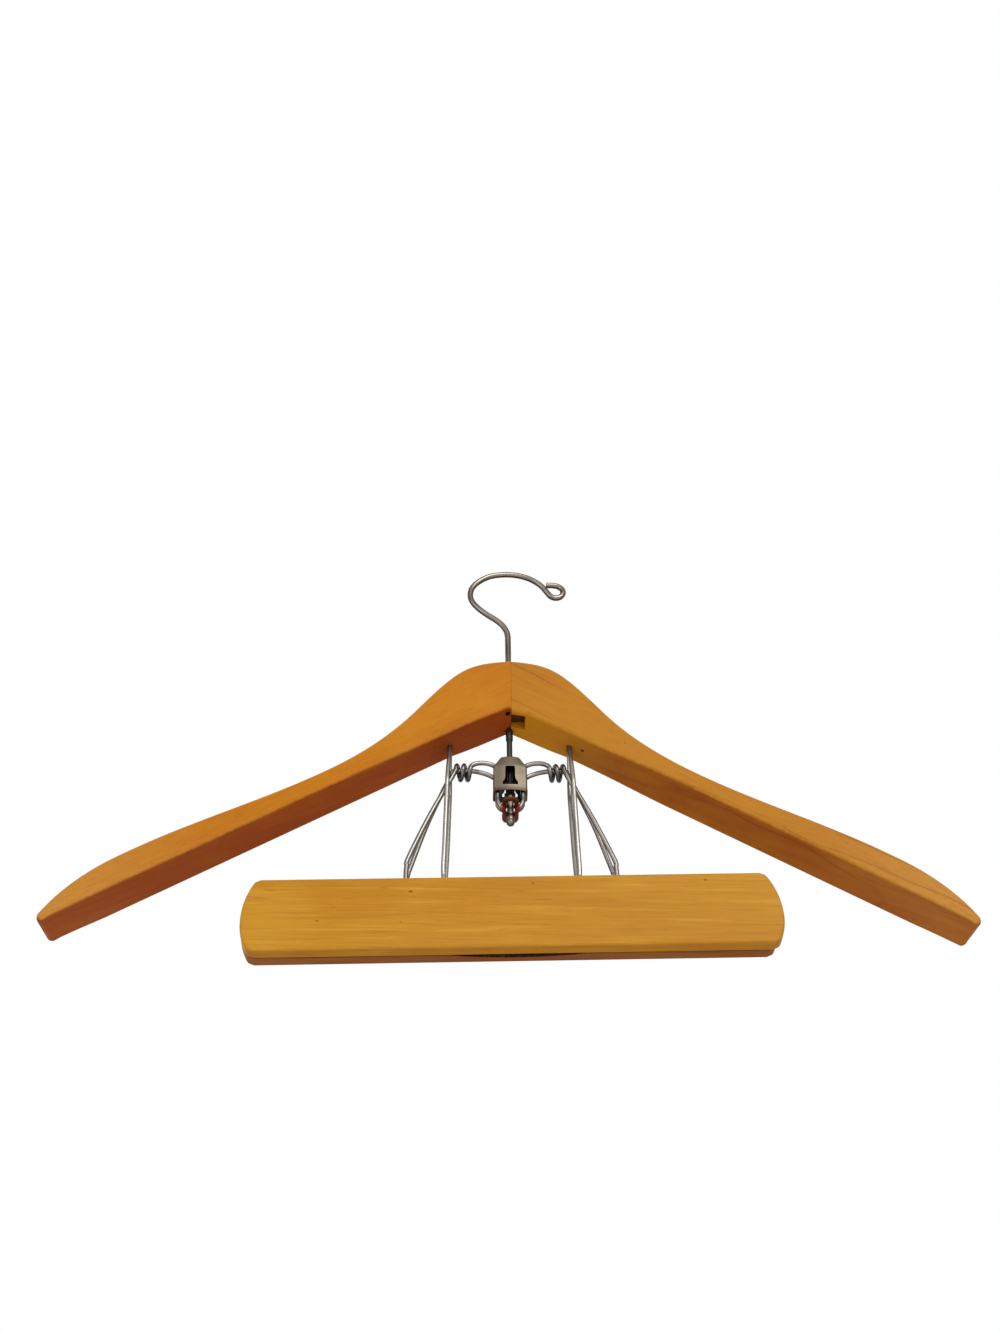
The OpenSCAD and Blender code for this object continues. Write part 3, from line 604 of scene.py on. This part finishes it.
# The body is a little fuller than at the seam, and its lower edges don't run quite alike: the front one rises to the
# seam as a ridge, the rear one falls to the rod as a vee, and further out the front one lies higher
def shaped(s, z, y, side):
    fuller, k = eased(s / 25), 0 if side < 0 else 1
    tip = 1 - eased((s - 195) / 26) if y > 0 else 1 - eased((s - 216) / 9) * 0.6
    y += fuller * tip * (arm["fullBack"] if y > 0 else arm["fullFront"]) * y / (arm["thick"] / 2)
    rear = min(max(y / arm["thick"] + 0.5, 0), 1)
    low = z < mix(lineAt(s), lineAt(s) + faceHeight(s), 0.3)
    out = eased((s - 45) / 35) * (1 - eased((s - 212) / 12) * rear)
    if low:
        z += out * mix(arm["frontUp"][k], -arm["rearDown"][k], rear)
    else:
        z += out * arm["topUp"][k]
    if z < 6 and s < arm["flat"] * 1.1:
        ridge = lineAt(s) - underAt(s)
        z += ridge * mix(arm["ridge"][k], 0.06, rear)
    if s < 29.5 and z < underAt(s) + 2.5:
        z -= max(0, underAt(s) + arm["vee"] * s) * rear
    s -= arm["endSlant"][k] * rear * eased((s - 204) / 16)
    return s, z, y


def armMesh(side):
    turn = math.radians(arm["sweep"])
    endX = arm["seam"] * side
    rings, marks = [], []
    for inset, y, mark in roundRows(arm["thick"] / 2, arm["edge"]):
        row = y
        p = drawnIn(armOutline((endX + y * math.sin(turn)) / math.cos(turn)), inset)
        moved = [shaped(s, z, y, side) for s, z in p]
        rings.append([(side * (s * math.cos(turn) - (y if s > 12 else row) * math.sin(turn)),
                       s * math.sin(turn) + y * math.cos(turn), z) for s, z, y in moved])
        marks.append(mark)
    return ringSolid(rings, marks)


def slotCutter(side):
    r = hairpin["wire"]
    x, z = side * hairpin["x"], underAt(hairpin["x"])
    high = (x + r + 0.05, arm["rodY"] + 2 * r + 0.25, z + hairpin["slotUp"])
    return boxCutter((x - r - 0.05, arm["rodY"] - 2 * r - 0.25, z - 14), high)


def armBradCutter(side):
    out, r, deep = arm["brad"]
    s = hairpin["x"] + out
    turn = math.radians(arm["sweep"])
    return rodCutter((side * s * math.cos(turn), s * math.sin(turn) - 1, underAt(s) - 3), r, deep)


def tongueBox(slack, foot, top):
    half = arm["tongueThick"] / 2 + slack
    low = (arm["seam"] - arm["tongueRoot"], arm["tongueY"] - half, foot)
    return low, (arm["seam"] + arm["tongueLong"] + slack, arm["tongueY"] + half, top)


for side, name, node in ((-1, "leftArm", "left_arm"), (1, "rightArm", "right_arm")):
    piece = newPiece(name, armMesh(side), name, "wood_body", (node,))
    cutters = [rodCutter((0, arm["rodY"], -10), arm["rodHole"], 70), slotCutter(side), armBradCutter(side)]
    if side > 0:
        cutters.append(boxCutter(*tongueBox(0.05, -5, arm["tongueTop"] + 0.2), "rightArm"))
    else:
        # the seam hole's faces are painted near-black as shade
        x, y, r, deep = arm["seamHole"]
        cutters.append(rodCutter((x, y, -1), r, deep, "pitch"))
    cut(piece, cutters)
    weighted(piece)
# the tongue, deep in the groove, is painted with the recess shade
newPiece("leftArmTongue", boxSolid(*tongueBox(-0.02, arm["tongueGap"], arm["tongueTop"])), "recessShade", "wood_body")
print("arms made")


# Hook and rod

hook = {"wire": 1.6, "rod": 1.45, "top": 22, "foot": -41.5, "bulb": 2.25, "neck": 1.68}

# The hook's own line, in millimetres about its inner top: out of the crown, round, and into the eye
hookLine = ((0, -95), (0, -70), (0, -50), (-0.1, -47), (-0.75, -43.2), (-2.8, -38.8), (-6.2, -34.8), (-11.3, -30.3),
            (-16.1, -25.3), (-19.3, -20.2), (-20.4, -15.0), (-19.3, -9.2), (-15.4, -3.9), (-9.5, 0.1), (-3.1, 1.55),
            (2.5, 1.6), (8.0, 0.45), (13.0, -1.9), (17.1, -5.2), (19.9, -8.6), (22.1, -12.6), (24.0, -15.5),
            (26.5, -16.8), (29.3, -15.9), (30.9, -12.9), (30.3, -9.7), (28.2, -7.6), (25.3, -6.8), (22.1, -6.7))


def hookPath():
    return curveThrough([(x, arm["rodY"], z - hung["z"]) for x, z in hookLine], 10)


newPiece("hookWire", wireMesh(hookPath(), hook["wire"], 28, dome=0.45), "hook", "hook", ("hook_rod",))
newPiece("lowerRod", wireMesh([(0, arm["rodY"], z) for z in (hook["top"], 0, -20, hook["foot"])], hook["rod"], 24),
         "dark", "hook")

# Turned pieces on the rod: radius and height from one end to the other
collar = ((1.6, -7.0), (1.78, -6.8), (1.82, -6.1), (1.72, -5.9), (1.82, -5.7), (1.82, -0.6), (1.74, -0.32))
rodEnd = ((hook["rod"], -36.6), (2.1, -37.4), (hook["bulb"], -38.4), (hook["bulb"], -45.2), (2.05, -46.2),
          (hook["neck"], -46.7), (hook["neck"], -56), (hook["neck"], -60.55))
ferrule = ((0.35, -62.2), (1.0, -62.0), (1.6, -61.55), (1.95, -60.9), (2.05, -60.2), (2.05, -59.4), (1.97, -59.2),
           (2.05, -59.0), (2.05, -56.05), (1.75, -55.65))


def turned(profile):
    return ringSolid([disc(0, arm["rodY"], z, r, 32) for r, z in profile])


newPiece("rodCollar", turned(collar), "dark", "hook", ("rod_collar",))
newPiece("rodEnd", turned(rodEnd), "ferrule", "hook")
newPiece("rodFerrule", turned(ferrule), "ferrule", "hook", ("rod_ferrule",))
print("hook made")


# Clamp wires

clamp = {"wire": 1.2, "coilZ": -28.6, "coilR": 3.6, "pitch": 3.6, "turns": 2, "coilOut": 27.0, "runX": 6.25,
         "legX": 50.0, "lowBight": -54.2, "highBight": -50.4, "bightY": 6.25, "legIn": 15.0, "rimZ": -43.6,
         "holdY": 3.75, "open": 7.0, "lift": 8.0, "elbow": 13.0, "arch": 4.0, "square": 0.62}
bar = {"length": 252.0, "height": 40.5, "thick": 6.1, "gap": 0.6, "top": -97.7, "edge": 1.6, "pullTop": 6.2,
       "pullFoot": 4.6, "fullAt": 0.42, "corner": 2.2, "rearShorter": 2.2, "lean": -1.45, "shift": (0.4, 0, 0.6),
       "wornDeep": (0.35, 1.9), "wornAt": 2, "wornLong": 31}
boardY = bar["gap"] / 2 + bar["thick"] / 2
pinZ = clamp["coilZ"] + clamp["coilR"] - 2 * clamp["wire"] - 0.12
pinOut = clamp["coilOut"] + clamp["wire"] + 0.4
coilIn = clamp["coilOut"] - clamp["turns"] * clamp["pitch"]
rimDepth = pinZ - clamp["rimZ"]
camRate = math.radians(clamp["open"]) / clamp["lift"]
runRimY = clamp["holdY"] - clamp["wire"] - 0.15
bightX = hook["rod"] + clamp["wire"] + 0.3


def runY(h):
    h = max(h, 0)
    return runRimY - h * camRate * (rimDepth - min(h, rimDepth))


def runPoint(z, face):
    return (-clamp["runX"], face * runY(pinZ - z), z)


# The hooked end round the rod, squarer than a half circle
def bight(face, z):
    rim, x = clamp["rimZ"], clamp["runX"]
    straight = clamp["bightY"] - bightX
    path = curveThrough([
        runPoint(rim + 3, face), runPoint(rim, face), (-x, face * (runRimY + 0.15), mix(rim, z, 0.3)),
        (-x + 0.4, face * (runRimY + 0.5), mix(rim, z, 0.62)),
        (-mix(x, bightX, 0.62), face * (runRimY + 0.35), mix(rim, z, 0.93)),
        (-bightX, face * 0.6, z), (-bightX, -face * straight * 0.55, z), (-bightX, -face * straight, z)], 10)
    power = clamp["square"]
    turn = [(-bightX * math.cos(a) ** power, -face * (straight + bightX * math.sin(a) ** power), z)
            for a in (math.radians(k * 9) for k in range(1, 10))]
    return path + turn + [(0, -face * clamp["bightY"], z)]


elbowZ = bar["top"] + clamp["elbow"]


def legStraight(face, heights):
    return [(-clamp["legX"], face * boardY, bar["top"] + up) for up in heights]


def legEnd(face):
    return legStraight(face, (-clamp["legIn"], -1))


def legFoot(face):
    return legStraight(face, (1, 3.5))


def frontHalf():
    out, r, z = clamp["coilOut"], clamp["coilR"], clamp["coilZ"]
    leg = curveThrough(legFoot(-1) + [
        (-clamp["legX"] + 0.2, -boardY, bar["top"] + 8), (-clamp["legX"] + 0.95, -mix(boardY, r, 0.2), elbowZ),
        (-mix(clamp["legX"], out, 0.45), -mix(boardY, r, 0.5), mix(elbowZ, z, 0.45)),
        (-out - 1.2, -r, z - 4.2), (-out, -r, z)], 10)
    coil = [(-out + clamp["pitch"] * a / 360, -r * math.cos(math.radians(a)), z + r * math.sin(math.radians(a)))
            for a in (k * 10 for k in range(1, clamp["turns"] * 36 + 1))]
    arch = []
    for k in range(1, 22):
        a = math.radians(180 - k * 172 / 21)
        x = -(coilIn + clamp["runX"]) / 2 + (coilIn - clamp["runX"]) / 2 * math.cos(a)
        arch.append((x, -mix(r, runY(1.2), (x + coilIn) / (coilIn - clamp["runX"])), z + clamp["arch"] * math.sin(a)))
    run = [runPoint(mix(z - 0.9, clamp["rimZ"] + 5, k / 12), -1) for k in range(13)]
    return legEnd(-1) + leg + coil + arch + run + bight(-1, clamp["lowBight"])


def rearLeg():
    leg = curveThrough(legFoot(1) + [
        (-clamp["legX"] + 0.7, boardY, bar["top"] + 8), (-clamp["legX"] + 2.0, boardY * 0.97, elbowZ),
        (-mix(clamp["legX"], pinOut, 0.45), boardY * 0.6, mix(elbowZ, pinZ, 0.45)),
        (-pinOut - 1.3, 0.35, pinZ - 3.6), (-pinOut + 0.1, 0, pinZ - 0.5), (-pinOut + 1.4, 0, pinZ),
        (-pinOut + 2.6, 0, pinZ)], 10)
    return legEnd(1) + leg


def rearRun():
    x = clamp["runX"]
    path = curveThrough([
        (-coilIn, 0, pinZ), (-coilIn + 1.2, 0, pinZ), (-mix(coilIn, x, 0.34), runY(0) * 0.5, pinZ + 0.3),
        (-mix(coilIn, x, 0.62), runY(1) * 0.86, pinZ - 0.6), (-mix(coilIn, x, 0.86), runY(2.5), pinZ - 2.6),
        (-x - 0.15, runY(5.2), pinZ - 5.2), runPoint(pinZ - 7.5, 1), runPoint(pinZ - 10, 1)], 10)
    return path + bight(1, clamp["highBight"])


def bothSides(half):
    return half + list(reversed(flipped(half[:-1])))


for name, half, jaw, node in (("frontWire", frontHalf(), "front_jaw", "front_wire"),
                              ("rearWire", rearLeg() + rearRun(), "rear_jaw", "rear_wire")):
    newPiece(name, wireMesh(movedBack(bothSides(half)), clamp["wire"]), "wire", jaw, (node,))
print("clamp wires made")


# Hairpin springs: each leg bends between the wood and its own board

def hairpinLeg(face):
    half, out = hairpin["wire"] + 0.2, underAt(hairpin["x"])
    low = clamp["coilZ"] - 15

    def across(t):
        return -mix(hairpin["x"], hairpin["footX"], t)

    straight = [(across(0), face * half, 0.5), (across(0), face * half, out * 0.55)]
    bend = curveThrough([
        (across(0), face * half, out + 1), (across(0), face * half, out - 0.6),
        (across(0.1), face * mix(half, hairpin["spread"], 0.62), out - 12),
        (across(0.2), face * hairpin["spread"], clamp["coilZ"] - 7), (across(0.3), face * hairpin["spread"], low),
        (across(0.65), face * mix(hairpin["spread"], boardY, 0.5), mix(low, bar["top"], 0.55)),
        (across(1), face * boardY, bar["top"] + 4.5), (across(1), face * boardY, bar["top"] + 2.2)], 10)
    foot = [(across(1), face * boardY, bar["top"] - 1), (across(1), face * boardY, bar["top"] - hairpin["depth"])]
    turn = [(across(0), face * half * math.sin(a), 0.5 + half * math.cos(a))
            for a in (math.radians(k * 10) for k in range(0, 9))]
    # the legs stand a little apart sideways too, so both show
    bend = [(x + face * hairpin["apart"] * eased((-12 - z) / 30) * eased((z - bar["top"] + 3) / 12), y, z)
            for x, y, z in bend]
    return turn + straight + bend + foot


for side, name, node in ((-1, "left", "left_hairpin"), (1, "right", "right_hairpin")):
    for face, end, jaw in ((-1, "Front", "front_jaw"), (1, "Rear", "rear_jaw")):
        path = movedBack(hairpinLeg(face))
        path = flipped(path) if side > 0 else path
        piece = newPiece(name + "Hairpin" + end, wireMesh(path, hairpin["wire"], 18), "hairpin")
        place((side * 30, 5.5, -14))
        place((side * 31.9, 5.5, -92))
        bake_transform(piece)
        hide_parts(node)
print("springs made")


# Sleeve: a flattened tube of sheet metal with drawn-in shoulders, side slots for the wires and a keyhole slot

sleeve = {"high": 22.6, "sheet": 0.7, "swell": 0.9, "wider": 0.4, "corner": 0.6, "window": 4.9, "windowUp": 3.4,
          "rearWindow": -33.5, "slotTop": 3.9, "slotFoot": 1.6, "softEdge": 0.12}
tab = {"wide": 2.79, "thick": 0.3, "long": (0.0, 0.8, 1.6, 2.3), "tilt": 24}
sleeveTop = clamp["rimZ"] + sleeve["high"]
sleeveInX = clamp["runX"] + clamp["wire"] + 0.15


def sleeveRing(hx, hy, r, swell, z):
    corner = [(hx - r + r * math.cos(a), hy - r + r * math.sin(a)) for a in (math.radians(k * 10) for k in range(10))]
    front = [((hx - r) * (1 - k / 8), hy + swell * (1 - (1 - k / 8) ** 2)) for k in range(1, 8)]
    quarter = corner + front
    top = quarter + [(0, hy + swell)] + [(-x, y) for x, y in reversed(quarter)]
    ring = top + [(x, -y) for x, y in reversed(top)]
    return [(x, y + arm["rodY"], z) for x, y in ring]


def sleeveShell(g, low, high):
    hx, hy = sleeveInX + g + sleeve["wider"] * g, clamp["holdY"] + g
    r = sleeve["corner"] + g
    # shares of the width, depth and swell up to the drawn-in top
    stations = [(1, 1, 1, low), (1, 1, 1, mix(low, high - 7, 0.5)), (1, 1, 1, high - 7.4),
                (0.985, 0.995, 1, high - 6.7), (0.95, 0.985, 1, high - 6.0), (0.60, 0.88, 0.75, high - 0.75),
                (0.575, 0.85, 0.7, high - 0.3), (0.53, 0.79, 0.65, high)]
    return [sleeveRing(hx * a, hy * b, r, sleeve["swell"] * c, z) for a, b, c, z in stations]


outer = newPiece("sleeve", ringSolid(sleeveShell(sleeve["sheet"], clamp["rimZ"], sleeveTop)), "sleeve", "sleeve",
                 ("sleeve",), 35)
# the sleeve's inner walls take this cutter's dark rod finish: painted shade inside the sleeve
inner = newPiece("cutter", ringSolid(sleeveShell(0.18, clamp["rimZ"] - 1, sleeveTop - sleeve["sheet"])), "dark")
cutters = [inner, rodCutter((0, arm["rodY"], sleeveTop - 5), hook["rod"] + 0.12, 8)]
slotLow, slotHigh = clamp["rimZ"] + sleeve["slotFoot"], sleeveTop - sleeve["slotTop"]
for side in (-1, 1):
    x = side * (sleeveInX + 2)
    cutters.append(boxCutter((x - 3.4, arm["rodY"] - clamp["holdY"], slotLow),
                             (x + 3.4, arm["rodY"] + clamp["holdY"], slotHigh)))
# the keyhole slot: the right edge of its widened foot from the top down, then the whole outline
wz, w = clamp["rimZ"] + sleeve["windowUp"], sleeve["window"] / 2
keyEdge = [(w, wz + 5.0), (w * 1.06, wz + 4.1), (w * 1.25, wz + 2.9), (w * 1.54, wz + 1.9), (w * 1.54, wz)]
keyhole = [(-x, z) for x, z in keyEdge] + keyEdge[::-1]
keyhole += [(w, wz + 11.2), (w - 0.4, wz + 12.0), (-w + 0.4, wz + 12.0), (-w, wz + 11.2)]
lowered = [(x, min(z, sleeve["rearWindow"])) for x, z in keyhole[:12]]
# the keyhole's cut edges take the dark rod finish as painted shade
for outline, ends in ((keyhole, (-16, arm["rodY"])), (lowered, (arm["rodY"] + 0.1, 26))):
    cutters.append(newPiece("cutter", ringSolid([[(x, y, z) for x, z in outline] for y in ends]), "dark"))
cut(outer, cutters)
soften = outer.modifiers.new("soften", "BEVEL")
soften.width = sleeve["softEdge"] * 0.001
soften.segments = 2
soften.limit_method = "ANGLE"
soften.angle_limit = math.radians(40)
weighted(outer)
for face, name in ((-1, "sleeveTabFront"), (1, "sleeveTabRear")):
    tilt = math.radians(tab["tilt"] * face)
    thick, wide = tab["thick"], tab["wide"]
    atY = arm["rodY"] + face * (clamp["holdY"] + sleeve["swell"] + thick)
    rings = [[(x, atY + y * math.cos(tilt) - z * math.sin(tilt), wz - 0.3 + y * math.sin(tilt) + z * math.cos(tilt))
              for x, y in ((-wide, -thick), (wide, -thick), (wide, thick), (-wide, thick))] for z in tab["long"]]
    newPiece(name, ringSolid(rings), "ferrule", "sleeve")
print("sleeve made")


# Boards: bowed ends, rounded outer edges, flat gripping faces

def boardOutline(shorter):
    full, r = bar["fullAt"], bar["corner"]
    right = []
    for k in range(33):
        t = k / 32
        pull, away = (bar["pullTop"], (t - full) / (1 - full)) if t > full else (bar["pullFoot"], (full - t) / full)
        x = bar["length"] / 2 - pull * away ** 2.2
        near = min(bar["height"] * (1 - t), bar["height"] * t)
        x -= r - math.sqrt(max(r * r - max(r - near, 0) ** 2, 0)) if near < r else 0  # rounded corner
        right.append((x, bar["top"] - bar["height"] + bar["height"] * t))
    return [(x - shorter, z) for x, z in right] + [(-x, z) for x, z in reversed(right)]


def boardMesh(face):
    half = bar["thick"] / 2
    rows = roundRows(half, bar["edge"])[:8] + [(0.0, half - 0.5, 0.0), (0.15, half - 0.2, 0.5), (0.5, half, 0.6)]
    p = boardOutline(bar["rearShorter"] if face > 0 else 0.0)
    rings, marks = [], []
    for inset, y, mark in rows:
        rings.append([(x, arm["rodY"] + (y - boardY if face < 0 else boardY - y), z) for x, z in insetRing(p, inset)])
        marks.append(mark)
    return ringSolid(rings, marks)


def holeCutters(y):
    found = []
    for side in (-1, 1):
        for x, deep, r in ((clamp["legX"], clamp["legIn"], clamp["wire"]),
                           (hairpin["footX"], hairpin["depth"], hairpin["wire"])):
            found.append(rodCutter((side * x, y, bar["top"] - deep - 0.3), r + 0.06, 20))
    return found


# The lower inner edges are worn into a dip in the middle, whose faces get painted recess shade
def wornCutter(face, deep):
    inY, foot = arm["rodY"] + face * (bar["gap"] / 2 - 0.4), bar["top"] - bar["height"] - 1
    rings = []
    for k in range(25):
        t = k / 12 - 1
        x, d = bar["wornAt"] + bar["wornLong"] * t, (1 - t * t) ** 1.3
        rings.append([(x, inY, foot), (x, inY + face * (0.42 + deep * d), foot),
                      (x, inY + face * (0.42 + deep * d * 0.8), foot + 4), (x, inY, foot + 5 + 12 * d)])
    return newPiece("cutter", ringSolid(rings), "recessShade")


for face, name, node, jaw, deep in ((-1, "frontBoard", "front_board", "front_jaw", bar["wornDeep"][0]),
                                    (1, "rearBoard", "rear_board", "rear_jaw", bar["wornDeep"][1])):
    piece = newPiece(name, boardMesh(face), name, jaw, (node,))
    y = arm["rodY"] + face * boardY
    cut(piece, holeCutters(y) + [wornCutter(face, deep)])
    # the boards sit a little crooked on their wires
    middle = place((0, y, bar["top"] - bar["height"] / 2))
    lean = Matrix.Translation(middle) @ Matrix.Rotation(math.radians(bar["lean"]), 4, "Y") @ Matrix.Translation(-middle)
    piece.data.transform(Matrix.Translation(Vector(bar["shift"]) * 0.001) @ lean)
    weighted(piece)
print("boards made")

# The brads keep their CAD shape. The left arm's is varnished over
for node in ("arm_brad_left", "arm_brad_right", "front_brad_left", "front_brad_right", "rear_brad_left",
             "rear_brad_right"):
    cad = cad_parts[node]
    cad.data.materials.clear()
    cad.data.materials.append(finishes["leftArm" if node == "arm_brad_left" else "brad"])


# Camera, light and room

view = {"at": (-21.8, -658.6, -595.2), "up": 43.97, "yaw": 1.50, "roll": -0.58, "focal": 1738.6}
up, yaw, roll = (math.radians(view[k]) for k in ("up", "yaw", "roll"))
ahead = Vector((math.sin(yaw) * math.cos(up), math.cos(yaw) * math.cos(up), math.sin(up)))
right = Vector((math.cos(yaw), -math.sin(yaw), 0))
top = right.cross(ahead)
right, top = right * math.cos(roll) + top * math.sin(roll), -right * math.sin(roll) + top * math.cos(roll)
camera = bpy.data.objects.new("camera", bpy.data.cameras.new("camera"))
bpy.context.scene.collection.objects.link(camera)
camera.matrix_world = Matrix((right, top, -ahead)).transposed().to_4x4()
camera.location = place(view["at"])
camera.data.sensor_width = 36.0
camera.data.lens = view["focal"] / 1333 * camera.data.sensor_width  # the picture is 1333 high
camera.data.clip_start, camera.data.clip_end = 0.01, 50.0
bpy.context.scene.camera = camera

room = {"floorZ": -0.80, "floorSize": 12.0, "background": 1.0, "sky": 0.52, "skyTone": (0.96, 0.98, 1.0, 1)}
lamps = {
    "keyLight": {"at": (0.5, -1.9, 0.75), "aim": (0, 0, -0.12), "size": (1.3, 0.9), "power": 24.0},
    "fillLight": {"at": (-1.7, -1.1, 0.15), "aim": (0, 0, -0.15), "size": (1.2, 1.2), "power": 7.0},
    "topLight": {"at": (0.1, 0.3, 1.9), "aim": (0, 0, -0.15), "size": (1.4, 1.4), "power": 10.0},
}
for name, v in lamps.items():
    lamp = bpy.data.objects.new(name, bpy.data.lights.new(name, "AREA"))
    lamp.data.shape = "RECTANGLE"
    lamp.data.size, lamp.data.size_y = v["size"]
    lamp.data.energy = v["power"]
    bpy.context.scene.collection.objects.link(lamp)
    lamp.location = v["at"]
    lamp.rotation_mode = "QUATERNION"
    lamp.rotation_quaternion = (Vector(v["aim"]) - Vector(v["at"])).to_track_quat("-Z", "Y")

# The camera and the metal's reflections see white, and the object is lit by a weaker sky
f = Finish("paleRoom", "worlds")
seen = f.add("ShaderNodeLightPath", {}, {}, "Is Camera Ray")
rays = seen
for ray in ("Is Glossy Ray", "Is Transmission Ray"):
    seen = seen.math("MAXIMUM", seen, rays.output(ray))
sky = f.add("ShaderNodeBackground", {}, {"Color": room["skyTone"], "Strength": room["sky"]})
plain = f.add("ShaderNodeBackground", {}, {"Color": (1, 1, 1, 1), "Strength": room["background"]})
f.add("ShaderNodeOutputWorld", {}, {"Surface": f.add("ShaderNodeMixShader", {}, {0: seen, 1: sky, 2: plain})})
bpy.context.scene.world = f.owner

floorMesh = bpy.data.meshes.new("floor")
half = room["floorSize"] / 2
corners = [(x * half, y * half, room["floorZ"]) for x, y in ((-1, -1), (1, -1), (1, 1), (-1, 1))]
floorMesh.from_pydata(corners, [], [(0, 1, 2, 3)])
floor = bpy.data.objects.new("floor", floorMesh)
bpy.context.scene.collection.objects.link(floor)
f = Finish("paleFloor")
grey = f.blendColour(f.noise(f.position(), 3.0, 3.0).fade(0.3, 0.7) * 0.3, (0.86, 0.86, 0.855), (0.83, 0.83, 0.825))
floorMesh.materials.append(f.shader(Base_Color=grey, Roughness=0.8))
bpy.context.scene.view_settings.view_transform = "Standard"
print("camera, lights and floor made")
